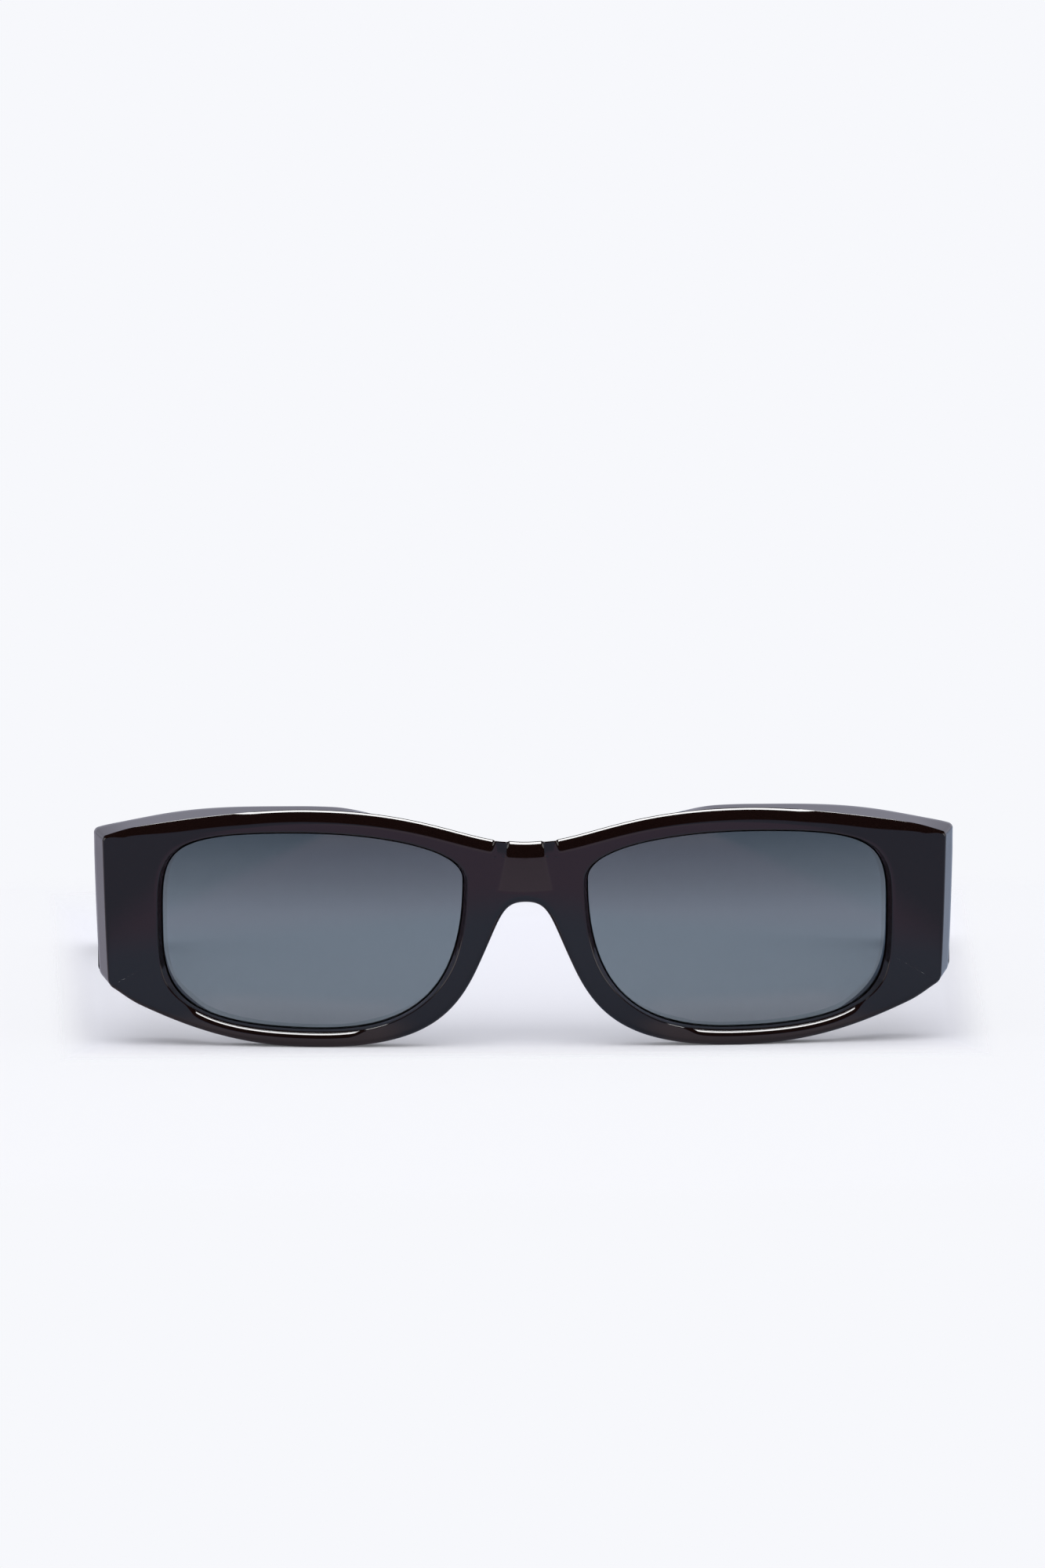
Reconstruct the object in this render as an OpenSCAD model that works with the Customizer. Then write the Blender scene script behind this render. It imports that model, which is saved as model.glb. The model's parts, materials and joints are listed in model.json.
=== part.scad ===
// Sunglasses with a thick acetate front, deep end pieces and folding temples.
// Millimetres. The face looks along -Y, the temples run back along +Y, +Z is up.
// The origin lies on the table, midway across the width and along the depth.
// Left and right are the wearer's: the wearer's left side is at +X.

/* [Lenses] */
// Width of one lens between the lips of its rim
lens_w = 50.8; // [46:0.2:56]
// Height of one lens between the lips of its rim
lens_h = 33.4; // [28:0.1:40]
// Thickness of the lens
lens_t = 1.8; // [1.6:0.1:2.4]
// Radius of the lens's front surface
lens_r = 265; // [180:5:520]
// Depth of the lens's front behind the face of the rim, at the middle of the lens
lens_set = 3; // [2.2:0.1:3.4]
// Height of the ridge round the lens that sits in the rim's groove
ridge_h = 0.6; // [0.4:0.05:0.8]
// Thickness of that ridge
ridge_t = 0.9; // [0.6:0.1:1.2]
// Play between the lens and the rim
lens_play = 0.05; // [0.03:0.01:0.1]

/* [Front] */
// Distance between the two lens openings
bridge_w = 21.2; // [16:0.2:24]
// Width of the rim from the lens opening to the outer side of the end piece
end_w = 11.7; // [10:0.1:13]
// Radius of the front's curve seen from above
face_r = 380; // [260:10:900]
// Depth of the rim above and below the lens
rim_d = 6; // [5.6:0.1:7]
// Depth of the end piece
end_d = 10; // [9:0.5:14]
// Height of the rim above the lens at the brow
brow_h = 4.5; // [3.6:0.1:7]
// Height of the rim under the lens
sill_h = 2.7; // [2:0.1:4]
// Width of the rim beside the nose, halfway down the lens
nasal_w = 2.4; // [2:0.1:3.4]
// Drop from the brow to the top corner of the end piece
end_drop = 5.1; // [3:0.1:7]
// Height of the end piece at its outer side
end_h = 25.5; // [22:0.1:28]
// Inward slant of the end piece's outer side over its height
end_slant = 0.6; // [0:0.1:2]
// Drop from the brow to the top of the bridge
bridge_drop = 5.5; // [3:0.1:7]
// Height of the bridge at its middle
bridge_h = 10.1; // [7:0.1:12]
// Height of the point where the nose cut-out's flanks are steepest
flank_z = 13.6; // [11:0.2:16]
// Steepness of the flanks in degrees
flank_angle = 65; // [56:1:72]
// Depth of the rolled edge round the face, which is also its width under the lens
edge_r = 1; // [0.6:0.1:1.3]
// Width of the rolled edge along the brow
brow_roll = 2.6; // [1.4:0.1:2.8]
// Width of the rolled edge down the outer side of the end piece
side_roll = 1.8; // [1.2:0.1:2.2]
// Radius of the edges round the back
back_r = 1.1; // [0.6:0.1:1.3]
// Drop of the bridge's top from its face to its back
bridge_fall = 0.9; // [0:0.1:1.1]
// Radius of the end piece's top corner, seen from the front
top_corner_r = 1.5; // [1.4:0.1:3]
// Radius of the end piece's bottom corner, seen from the front
low_corner_r = 2.2; // [1.4:0.1:4]
// Widening of the lens opening from the lens to the face
wall_flare = 0.7; // [0.4:0.05:0.9]
// Forward lean of the front as it stands on the table, in degrees
lean = 4; // [0:0.5:7]

/* [Bridge relief] */
// Half width of the sunken field on the bridge
relief_half = 5.1; // [4:0.1:6]
// Depth of the field at the top of the bridge
relief_d = 0.8; // [0.3:0.1:1.2]
// Slope of the field's side facets, depth over width
relief_slope = 0.36; // [0.25:0.01:0.6]
// Height of the field from the top of the bridge down
relief_h = 8.4; // [6:0.2:9]

/* [Nose pads] */
// Length of the pad along the flank
pad_len = 13; // [10:0.5:16]
// Thickness of the pad
pad_t = 2.2; // [1.8:0.1:3.4]
// Reach of the pad behind the rim
pad_reach = 4.2; // [3:0.2:6]
// Outward slant of the pad as it runs back, in degrees
pad_splay = 5; // [0:1:20]

/* [Temples] */
// Length from the hinge end to the start of the ear bend
temple_run = 98; // [86:1:108]
// Length of the ear part along the table
ear_run = 42; // [34:1:50]
// Height at the hinge end
temple_h = 25; // [21:0.5:27]
// Height at the ear bend
ear_h = 11.5; // [9:0.5:13]
// Height near the tip
tip_h = 10.5; // [8:0.5:13]
// Thickness at the hinge end
temple_t = 5; // [4.4:0.1:5.6]
// Thickness at the tip
tip_t = 3.8; // [3.2:0.1:4.6]
// Downward angle of the temple against the front, in degrees
panto = 7; // [5:0.5:9]
// Downward angle of the tip against the front, in degrees
tip_angle = 27; // [18:1:36]
// Outward splay of the temples when open, in degrees
splay = 4.3; // [2:0.1:6]
// Inward curve of the tip from the line of the temple
tip_in = 3; // [0:0.5:12]
// Radius of the temple's long edges
temple_r = 1.3; // [0.8:0.1:1.8]
// Gap between the end piece and the hinge end of the temple
butt_gap = 0.15; // [0.1:0.05:0.4]

/* [Hinges] */
// Radius of the hinge barrels
barrel_r = 1.5; // [1.3:0.1:1.7]
// Height of one barrel
barrel_h = 2; // [1.6:0.1:2.4]
// Gap between one barrel and the next
barrel_gap = 0.1; // [0.05:0.05:0.2]
// Radius of the screw's shank
screw_r = 0.7; // [0.6:0.05:0.8]
// Play between the screw and the barrels
screw_play = 0.04; // [0.02:0.01:0.08]
// Radius of the screw's head
head_r = 1.25; // [1.1:0.05:1.4]
// Height of the screw's head
head_h = 0.8; // [0.6:0.1:1.2]
// Thickness of the hinge plates
plate_t = 1; // [0.8:0.1:1.3]
// Length of the plate in the temple
plate_len = 11; // [8:0.5:14]
// Depth of the anchor in the end piece
anchor_d = 3.5; // [2.5:0.5:5]
// Clearance between the barrels and what turns past them
barrel_clear = 0.2; // [0.15:0.05:0.4]

/* [Temple cores] */
// Width of the core strip
core_w = 2.6; // [2:0.1:3]
// Thickness of the core strip
core_t = 1.2; // [1:0.1:1.4]
// Distance from the end of the core to the tip of the temple
core_stop = 9; // [6:1:16]

/* [Hidden] */

acetate = [0.07, 0.06, 0.065];
pad_acetate = [0.09, 0.075, 0.08];
smoke = [0.36, 0.39, 0.43, 0.75];
nickel = [0.62, 0.62, 0.64];
steel = [0.48, 0.48, 0.5];

// Steps along each stretch of the outline, in the order of outline_curves
outline_steps = [18, 17, 4, 10, 4, 18, 17, 10];
mid_steps = 4;
// Turns of the points round the front's rolled edges
edge_turns = [0, 12, 27, 50, 90];
back_turns = [0, 30, 60, 90];
lens_steps = 24;
ball_fn = 240;
round_fn = 48;

// Places worked out from the sizes above
front_w = bridge_w + 2 * lens_w + 2 * end_w;
front_h = sill_h + lens_h + brow_h;
half_w = front_w / 2;
lens_x = (bridge_w + lens_w) / 2;
lens_z = sill_h + lens_h / 2;
bridge_top = front_h - bridge_drop;
arch_top = bridge_top - bridge_h;
end_top = front_h - end_drop;
end_low = end_top - end_h;
flank_x = bridge_w / 2 - nasal_w;
face_end_y = face_r - sqrt(face_r * face_r - half_w * half_w);
back_y = face_end_y + end_d;
hinge_z = (end_top + end_low) / 2;
stack_h = 5 * barrel_h + 4 * barrel_gap;
pivot_x = half_w - temple_t - barrel_clear - barrel_r;
pivot_y = back_y + barrel_clear + barrel_r;
temple_y = back_y + butt_gap;

function mix(a, b, t) = a + (b - a) * t;
function ease(t) = let (c = max(0, min(1, t))) c * c * (3 - 2 * c);
function along(angle) = [cos(angle), sin(angle)];
function left_of(d) = [-d.y, d.x] / norm(d);
function bez(p, t) =
    let (u = 1 - t) u * u * u * p[0] + 3 * u * u * t * p[1] + 3 * u * t * t * p[2] + t * t * t * p[3];
function curve_run(p, n) = [for (i = [0:n - 1]) bez(p, i / n)];
function corner(a, tip, b) = [a, mix(a, tip, 0.55), mix(b, tip, 0.55), b];
function flat(lists) = [for (list = lists) for (item = list) item];
function loop_dirs(pts) =
    [for (i = [0:len(pts) - 1]) left_of(pts[(i + 1) % len(pts)] - pts[(i + len(pts) - 1) % len(pts)])];

// Lens opening: four curves between its highest, outermost, lowest and innermost points
function lens_curves() =
    let (
        top = [0.02 * lens_w, lens_h / 2],
        outer = [lens_w / 2, 0.06 * lens_h],
        low = [-0.02 * lens_w, -lens_h / 2],
        inner = [-lens_w / 2, 0.271 * lens_h]
    )
    [
        [top, top + [outer.x - top.x, 0], outer + [0, 0.776 * (top.y - outer.y)], outer],
        [outer, outer - [0, 0.59 * (outer.y - low.y)], low + [outer.x - low.x, 0], low],
        [low, low - [0.6 * (low.x - inner.x), 0], inner - [0, 0.79 * (inner.y - low.y)], inner],
        [inner, inner + [0, 0.737 * (top.y - inner.y)], top - [0.4 * (top.x - inner.x), 0], top]
    ];
// Each point of the outer outline is paired with the point of the opening on the same ray from here
aim = [lens_x, max(lens_z, arch_top + 1)];
lens_polar = [
    for (c = lens_curves())
        for (p = curve_run(c, lens_steps))
            let (q = p + [lens_x, lens_z] - aim)
            for (turn = [-360, 0, 360]) [atan2(q.y, q.x) + turn, norm(q)]
];
function lens_lip(from) =
    let (a = atan2(from.y - aim.y, from.x - aim.x)) aim + lookup(a, lens_polar) * along(a);

// Outer outline of the half front, from the top of the bridge round the end piece to the nose
brow_x = lens_x + 1;
top_corner = [half_w, end_top];
low_corner = [half_w - end_slant, end_low];
top_corner_in = top_corner + top_corner_r * along(162);
top_corner_out = top_corner + top_corner_r * along(-90);
low_corner_in = low_corner + low_corner_r * along(90);
low_corner_out = low_corner + low_corner_r * along(206);
flank = [flank_x, flank_z];
function outline_curves() = [
    [
        [0, bridge_top], [0.276 * brow_x, bridge_top],
        [0.431 * brow_x, front_h], [brow_x, front_h]
    ],
    [
        [brow_x, front_h], [brow_x + 0.34 * (half_w - brow_x), front_h],
        top_corner_in + 0.12 * (half_w - brow_x) * along(162), top_corner_in
    ],
    corner(top_corner_in, top_corner, top_corner_out),
    [
        top_corner_out, mix(top_corner_out, low_corner_in, 0.33) + [0.15 * end_slant, 0],
        mix(top_corner_out, low_corner_in, 0.67) + [0.3 * end_slant, 0], low_corner_in
    ],
    corner(low_corner_in, low_corner, low_corner_out),
    [
        low_corner_out, low_corner_out + 0.386 * (half_w - lens_x) * along(206),
        [lens_x + 0.36 * (half_w - lens_x), 0], [lens_x, 0]
    ],
    [
        [lens_x, 0], [lens_x - 0.655 * (lens_x - flank_x), 0],
        flank - 0.69 * flank_z * along(180 - flank_angle), flank
    ],
    [
        flank, flank + 0.84 * (arch_top - flank_z) * along(180 - flank_angle),
        [0.506 * flank_x, arch_top], [0, arch_top]
    ]
];
outline = concat(
    flat([for (k = [0:7]) curve_run(outline_curves()[k], outline_steps[k])]),
    [[0, arch_top]]
);
outline_last = len(outline) - 1;
outline_dirs = [
    for (i = [0:outline_last])
        i == 0 ? [0, 1] : i == outline_last ? [0, -1] : left_of(outline[i + 1] - outline[i - 1])
];
mid_points = [
    for (k = [1:mid_steps - 1]) [0, mix(arch_top + edge_r, bridge_top - brow_roll, k / mid_steps)]
];
outer_points = concat(outline, mid_points);
station_count = len(outer_points);
lip_points = [for (p = outer_points) lens_lip(p)];
lip_dirs = loop_dirs(lip_points);

// Depth of the face, the back and the lens's shells at a point of the front
function face_at(p) = face_r - sqrt(face_r * face_r - p.x * p.x);
function back_at(p) =
    let (
        low = max(0, lens_z - p.y) / lens_z,
        from = lens_x + 2 + 14 * low,
        to = half_w - end_w + 1
    )
    mix(face_at(p) + rim_d, back_y, ease((p.x - from) / (to - from)));
wrap = asin(lens_x / face_r);
ball = [
    lens_x - lens_r * sin(wrap),
    face_at([lens_x, 0]) + lens_set + lens_r * cos(wrap),
    lens_z
];
function shell_at(p, inset) =
    let (r = lens_r - inset, dx = p.x - ball.x, dz = p.y - ball.z) ball.y - sqrt(r * r - dx * dx - dz * dz);
ridge_in = (lens_t - ridge_t) / 2;
groove_front = ridge_in - lens_play;
groove_back = ridge_in + ridge_t + lens_play;
groove_h = ridge_h + lens_play;
wall_r = 0.3;
back_flare = 0.5;

// Width of the rolled edge: wide along the brow and down the outer side, narrow under the lens
function roll_at(o, n) =
    edge_r
    + (brow_roll - edge_r) * ease((n.y - 0.2) / 0.6) * (1 - ease((o.x - half_w + 10) / 8))
    + (side_roll - edge_r) * ease((n.x - 0.5) / 0.4);
// Fall of the top towards the back: full at the bridge, none from the middle of the lens outwards
function fall_at(o, n) = bridge_fall * ease((n.y - 0.3) / 0.5) * (1 - ease((o.x - 22) / 14));

// One cross-section of the rim: across the face, down the lens opening and back to the outer side
function lift(p, y) = [p.x, y, p.y];
function section(i) =
    let (
        o = outer_points[i],
        n = i > outline_last ? [0, 0] : outline_dirs[i],
        p = lip_points[i],
        m = lip_dirs[i],
        room = norm(o - p) - wall_flare - wall_r,
        roll = min(roll_at(o, n), 0.8 * room),
        edge = min(edge_r, 1.1 * room),
        fall = fall_at(o, n),
        face_in = p + (wall_flare + wall_r) * m,
        wall_in = p + wall_flare * m,
        lip = p + lens_play * m,
        pit = p + groove_h * m,
        rear_in = p + back_flare * m,
        rear_edge = p + (back_flare + wall_r) * m
    )
    concat(
        [
            for (a = edge_turns)
                let (q = o - roll * (1 - cos(a)) * n) lift(q, face_at(q) + edge * (1 - sin(a)))
        ],
        [
            lift(face_in, face_at(face_in)),
            lift(wall_in, face_at(wall_in) + wall_r),
            lift(lip, shell_at(lip, groove_front)),
            lift(pit, shell_at(pit, groove_front)),
            lift(pit, shell_at(pit, groove_back)),
            lift(lip, shell_at(lip, groove_back)),
            lift(rear_in, back_at(rear_in) - wall_r),
            lift(rear_edge, back_at(rear_edge))
        ],
        [
            for (a = back_turns)
                let (q = o - (fall + back_r * (1 - sin(a))) * n) lift(q, back_at(q) - back_r * (1 - cos(a)))
        ]
    );
// Places in the ring of the face's outer border and of the back's
face_out_j = len(edge_turns) - 1;
rear_out_j = face_out_j + 9;
ring = rear_out_j + len(back_turns);
sections = [for (i = [0:station_count - 1]) section(i)];

// The two halves share the points that lie on the middle plane
function on_middle(i, j) =
    i == 0 || i == outline_last
        ? j >= rear_out_j || j <= face_out_j
        : i > outline_last && (j == face_out_j || j == rear_out_j);
function vertex(side, i, j) = (side == 1 && on_middle(i, j) ? 0 : side) * station_count * ring + i * ring + j;
front_points = [
    for (side = [0, 1])
        for (s = sections)
            for (v = s) side == 0 ? v : [-v.x, v.y, v.z]
];
front_faces = [
    for (side = [0, 1])
        for (i = [0:station_count - 1])
            for (j = [0:ring - 1])
                let (
                    k = (i + 1) % station_count,
                    l = (j + 1) % ring,
                    a = vertex(side, i, j),
                    b = vertex(side, i, l),
                    c = vertex(side, k, l),
                    d = vertex(side, k, j)
                )
                if (i < outline_last || (j >= face_out_j && j < rear_out_j))
                    for (t = side == 0 ? [[c, b, a], [d, c, a]] : [[a, b, c], [a, c, d]]) t
];

// The whole model leans with the front, stands on the table and is centred on its depth
function stood_z(v) = v.y * sin(lean) + v.z * cos(lean);
function stood_y(v) = v.y * cos(lean) - v.z * sin(lean);
front_low = min([for (v = front_points) stood_z(v)]);

module stand() {
    translate([0, -depth_middle, -front_low])
        rotate([lean, 0, 0])
            children();
}

module mirrored(side) {
    if (side > 0) children();
    else mirror([1, 0, 0]) children();
}

// Closed body through a list of rings with the same number of points, with flat ends
module skin(rings) {
    n = len(rings[0]);
    last = len(rings) - 1;
    polyhedron(
        points = flat(rings),
        faces = concat(
            [[for (j = [n - 1:-1:0]) j]],
            [[for (j = [0:n - 1]) last * n + j]],
            [
                for (i = [0:last - 1])
                    for (j = [0:n - 1])
                        let (a = i * n + j, b = i * n + (j + 1) % n, c = b + n, d = a + n)
                        for (t = [[a, b, c], [a, c, d]]) t
            ]
        )
    );
}

// Temple: a centre line, a height and a thickness at each step
ear_y = temple_y + temple_run * cos(panto);
ear_start = [ear_y, hinge_z - temple_run * sin(panto)];
function ear_curve(drop) =
    let (end = [ear_y + ear_run, drop])
    [
        ear_start, ear_start + 0.36 * ear_run * along(-panto),
        end - 0.36 * ear_run * along(-tip_angle), end
    ];
function temple_x(y) =
    let (
        straight = half_w - temple_t / 2 + (min(y, ear_y) - temple_y) * tan(splay),
        t = max(0, y - ear_y) / ear_run
    )
    straight + max(0, y - ear_y) * tan(splay) - tip_in * t * t * (1.5 - 0.5 * t);
run_steps = 16;
ear_steps = 14;
cap_steps = 5;
// Each station holds the centre [y, z], the height and the thickness of the section there
function temple_stations(drop) = concat(
    [
        for (i = [0:run_steps - 1])
            let (t = i / run_steps)
            [
                mix([temple_y, hinge_z], ear_start, t),
                mix(ear_h, temple_h, pow(1 - t, 1.25)),
                mix(temple_t, mix(temple_t, tip_t, 0.6), ease(t))
            ]
    ],
    [
        for (i = [0:ear_steps])
            let (t = i / ear_steps)
            [
                bez(ear_curve(drop), t),
                mix(ear_h, tip_h, ease(t)),
                mix(mix(temple_t, tip_t, 0.6), tip_t, ease(t))
            ]
    ],
    [
        for (i = [1:cap_steps])
            let (a = i * 88 / cap_steps)
            [
                bez(ear_curve(drop), 1) + tip_h / 2 * sin(a) * along(-tip_angle),
                tip_h * cos(a),
                tip_t * (0.35 + 0.65 * cos(a))
            ]
    ]
);
// Corner arcs of a rounded oblong of width w and height h
function oblong(w, h, r) =
    let (c = min(r, w / 2 - 0.05, h / 2 - 0.01))
    [
        for (q = [0:3])
            for (s = [0:3])
                let (a = q * 90 + s * 30)
                [
                    (q == 0 || q == 3 ? 1 : -1) * (w / 2 - c) + c * cos(a),
                    (q < 2 ? 1 : -1) * (h / 2 - c) + c * sin(a)
                ]
    ];
function rings_along(stations, shape) = [
    for (i = [0:len(stations) - 1])
        let (
            s = stations[i],
            before = stations[max(0, i - 1)][0],
            after = stations[min(len(stations) - 1, i + 1)][0],
            turned = i == 0 ? [1, 0] : (after - before) / norm(after - before),
            up = left_of(turned)
        )
        [for (q = shape[i]) let (c = s[0] + q.y * up) [temple_x(s[0].x) + q.x, c.x, c.y]]
];
function temple_rings(drop) =
    let (stations = temple_stations(drop))
    rings_along(stations, [for (s = stations) oblong(s[2], s[1], temple_r)]);
function lowest(rings) = min([for (r = rings) for (v = r) stood_z(v)]);
// The tip comes down until it rests on the table beside the rims
first_drop = -(ear_y + ear_run) * tan(lean) + tip_h / 2;
second_drop = first_drop - (lowest(temple_rings(first_drop)) - front_low) / cos(lean);
tip_z = second_drop - (lowest(temple_rings(second_drop)) - front_low) / cos(lean);
temple_body = temple_rings(tip_z);

// The depth of the whole, for the place of the origin
front_most = min([for (v = front_points) stood_y(v)]);
rear_most = max([for (r = temple_body) for (v = r) stood_y(v)]);
depth_middle = (front_most + rear_most) / 2;

// Core: a flat strip on the temple's centre line, brazed into the hinge's anchor in front
socket_len = 3;
core_from = plate_len - socket_len;
braze = 0.4;
core_count = 22;
function centre_at(t) =
    let (run_part = (temple_run - core_from) / (temple_run - core_from + ear_run))
    t < run_part
        ? mix(mix([temple_y, hinge_z], ear_start, (core_from - braze) / temple_run), ear_start, t / run_part)
        : bez(ear_curve(tip_z), (t - run_part) / (1 - run_part) * (1 - core_stop / ear_run));
core_stations = [for (i = [0:core_count]) [centre_at(i / core_count)]];
function core_rings(grow) =
    let (w = core_t / 2 + grow, h = core_w / 2 + grow)
    rings_along(core_stations, [for (s = core_stations) [[w, h], [-w, h], [-w, -h], [w, -h]]]);

// Barrel number 0 is the lowest; the front leaf has the even ones, the temple leaf the odd ones
function barrel_low(k) = hinge_z - stack_h / 2 + k * (barrel_h + barrel_gap);

module barrels(which) {
    for (k = which)
        translate([pivot_x, pivot_y, barrel_low(k)])
            cylinder(r = barrel_r, h = barrel_h, $fn = round_fn);
}

module barrel_bore() {
    translate([pivot_x, pivot_y, hinge_z - stack_h])
        cylinder(r = screw_r + screw_play, h = 2 * stack_h, $fn = round_fn);
}

// Plate and anchor of the front leaf, let into the back of the end piece
anchor_w = 1.8 * barrel_r;
anchor_step = 0.5;
anchor_h = stack_h - 2 * anchor_step;
module front_leaf_root() {
    translate([pivot_x - barrel_r, back_y - plate_t, hinge_z - stack_h / 2])
        cube([2 * barrel_r, plate_t, stack_h]);
    translate([pivot_x - anchor_w / 2, back_y - anchor_d, hinge_z - anchor_h / 2])
        cube([anchor_w, anchor_d, anchor_h]);
}

// Plate and anchor of the temple leaf, let into the inner face of the temple
plate_x = half_w - temple_t;
plate_start = 0.6;
plate_h = stack_h;
// The socket that holds the core ends short of the plate's edges
socket_low = 0.5;
socket_high = 1.1;
module temple_leaf_root() {
    rotate_from_hinge(splay)
        translate([plate_x, temple_y + plate_start, hinge_z - plate_h / 2])
            cube([plate_t, plate_len - plate_start, plate_h]);
    rotate_from_hinge(splay)
        translate([plate_x, temple_y + core_from - socket_len, hinge_z - plate_h / 2 + socket_low])
            cube([temple_t / 2 + core_t / 2, socket_len, plate_h - socket_low - socket_high]);
}

module rotate_from_hinge(angle) {
    translate([plate_x, temple_y, 0])
        rotate([0, 0, -angle])
            translate([-plate_x, -temple_y, 0])
                children();
}

module lens_outline(grow) {
    polygon([for (i = [0:station_count - 1]) lip_points[i] + grow * lip_dirs[i]]);
}

// A slice of the lens between two shells round the same centre
blank_reach = 20;
module lens_slice(grow, front_in, back_in) {
    difference() {
        intersection() {
            translate([0, blank_reach, 0])
                rotate([90, 0, 0])
                    linear_extrude(2 * blank_reach) lens_outline(grow);
            translate(ball)
                sphere(r = lens_r - front_in, $fn = ball_fn);
        }
        translate(ball)
            sphere(r = lens_r - back_in, $fn = ball_fn);
    }
}

module front_frame() {
    color(acetate)
        stand()
            difference() {
                polyhedron(points = front_points, faces = front_faces);
                bridge_relief();
                for (side = [1, -1])
                    mirrored(side) front_leaf_root();
            }
}

// Sunken field between the rims: a sloping floor that runs out, between two facets
module bridge_relief() {
    tilt = atan(relief_d / relief_h);
    reach = 2 * relief_half * relief_slope;
    block = 40;
    below = 5;
    intersection() {
        translate([0, 0, arch_top])
            linear_extrude(2 * bridge_h)
                polygon([
                    [-relief_half - 2 * reach, -2 * reach * relief_slope - 0.01],
                    [relief_half + 2 * reach, -2 * reach * relief_slope - 0.01],
                    [0, relief_half * relief_slope]
                ]);
        translate([0, 0, bridge_top - relief_h])
            rotate([-tilt, 0, 0])
                translate([-block / 2, -block, -below])
                    cube(block);
    }
}

module lens(side) {
    color(smoke)
        stand()
            mirrored(side)
                union() {
                    lens_slice(0, 0, lens_t);
                    lens_slice(ridge_h, ridge_in, ridge_in + ridge_t);
                }
}

// Pad: rings up the flank of the nose cut-out, bonded to the back of the rim
pad_rings_n = 10;
pad_points = 16;
pad_sink = 0.4;
pad_inset = 0.1;
pad_foot = flank - pad_len / 2 * along(180 - flank_angle) + [pad_t / 2 + pad_inset, 0];
pad_rings = [
    for (i = [0:pad_rings_n])
        let (
            t = i / pad_rings_n,
            size = max(0.12, sqrt(sin(180 * t))),
            c = pad_foot + pad_len * t * along(180 - flank_angle),
            side = left_of(-along(180 - flank_angle)),
            root = back_at(c) - pad_sink,
            reach = (pad_reach + pad_sink) * size * mix(1.1, 0.8, t)
        )
        [
            for (k = [0:pad_points - 1])
                let (
                    a = -k * 360 / pad_points,
                    back = reach * (1 - cos(a)) / 2,
                    out = pad_t / 2 * size * sin(a) + back * tan(pad_splay),
                    q = c + out * side
                )
                [q.x, root + back, q.y]
        ]
];

module nose_pad(side) {
    color(pad_acetate)
        stand()
            mirrored(side)
                skin(pad_rings);
}

module front_hinge(side) {
    color(nickel)
        stand()
            mirrored(side)
                difference() {
                    union() {
                        front_leaf_root();
                        barrels([0, 2, 4]);
                        for (k = [0, 2, 4])
                            translate([pivot_x - barrel_r, back_y - plate_t / 2, barrel_low(k)])
                                cube([2 * barrel_r, pivot_y - back_y + plate_t / 2, barrel_h]);
                    }
                    barrel_bore();
                }
}

module hinge_screw(side) {
    slot_w = 0.35;
    slot_d = 0.4;
    end_below = 0.3;
    into_head = 0.1;
    color(steel)
        stand()
            mirrored(side)
                translate([pivot_x, pivot_y, hinge_z])
                    difference() {
                        union() {
                            translate([0, 0, -stack_h / 2 - end_below])
                                cylinder(r = screw_r, h = stack_h + end_below + into_head, $fn = round_fn);
                            translate([0, 0, stack_h / 2])
                                cylinder(r = head_r, h = head_h, $fn = round_fn);
                        }
                        translate([-head_r - 1, -slot_w / 2, stack_h / 2 + head_h - slot_d])
                            cube([2 * head_r + 2, slot_w, slot_d + 1]);
                    }
}

module temple_hinge(side) {
    color(nickel)
        stand()
            mirrored(side)
                difference() {
                    union() {
                        temple_leaf_root();
                        barrels([1, 3]);
                        for (k = [1, 3])
                            translate([pivot_x, pivot_y - 0.5 * barrel_r, barrel_low(k)])
                                cube([plate_x + plate_t / 2 - pivot_x, 1.5 * barrel_r, barrel_h]);
                    }
                    barrel_bore();
                }
}

module temple(side) {
    color(acetate)
        stand()
            mirrored(side)
                difference() {
                    skin(temple_body);
                    temple_leaf_root();
                    skin(core_rings(0.02));
                }
}

module temple_core(side) {
    color(steel)
        stand()
            mirrored(side)
                skin(core_rings(0));
}

front_frame();
lens(1);  // lens_left
lens(-1);  // lens_right
nose_pad(1);  // nose_pad_left
nose_pad(-1);  // nose_pad_right
front_hinge(1);  // front_hinge_left
front_hinge(-1);  // front_hinge_right
hinge_screw(1);  // hinge_screw_left
hinge_screw(-1);  // hinge_screw_right
temple(1);  // temple_left
temple(-1);  // temple_right
temple_hinge(1);  // temple_hinge_left
temple_hinge(-1);  // temple_hinge_right
temple_core(1);  // temple_core_left
temple_core(-1);  // temple_core_right
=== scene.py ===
# Sunglasses: thick near-black acetate front, smoke lenses, deep end pieces and tapering temples.
# The mesh of each piece is worked out in millimetres in the front's own upright frame and then stood
# on the table with the front's lean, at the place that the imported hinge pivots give.
import json
import math

import bpy
import numpy as np
from mathutils import Matrix, Vector


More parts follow.
